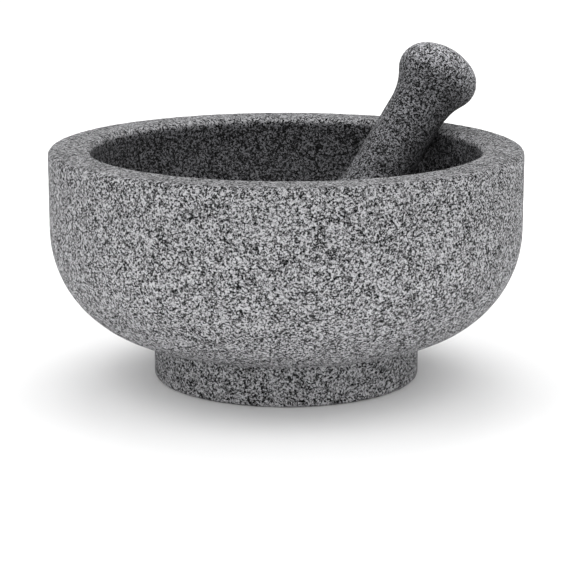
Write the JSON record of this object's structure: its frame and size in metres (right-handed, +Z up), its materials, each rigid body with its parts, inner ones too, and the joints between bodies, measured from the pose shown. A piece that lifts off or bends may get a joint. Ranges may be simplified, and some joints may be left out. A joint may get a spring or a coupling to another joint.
{
  "type": "molcajete with pestle",
  "caption": "Turned grey granite mortar bowl on an integral ring foot, with a knobbed granite pestle leaning on its rim, free to sweep round the bowl.",
  "frame": {"origin": "on the bowl's axis, at the underside of the foot, which is the level of the table", "axes": "+Z up along the bowl's axis. The pictured side faces -Y, with +X to its right. The pestle leans towards +X +Y, 38.5 degrees from +X."},
  "size_m": [0.203, 0.203, 0.1387],
  "materials": {
    "bowl_granite": "fine salt-and-pepper grey granite, turned and evenly pecked, matt, unpolished and unsealed",
    "pestle_granite": "the same granite, turned and rubbed matt, with a smoother grip"
  },
  "bodies": {
    "mortar": {"mortar_bowl": "bowl_granite"},
    "pestle": {"pestle": "pestle_granite"}
  },
  "joints": [
    {"name": "grinding_sweep", "type": "hinge", "parent": "mortar", "child": "pestle", "pos_m": [0, 0, 0], "axis": [0, 0, 1], "continuous": true}
  ]
}
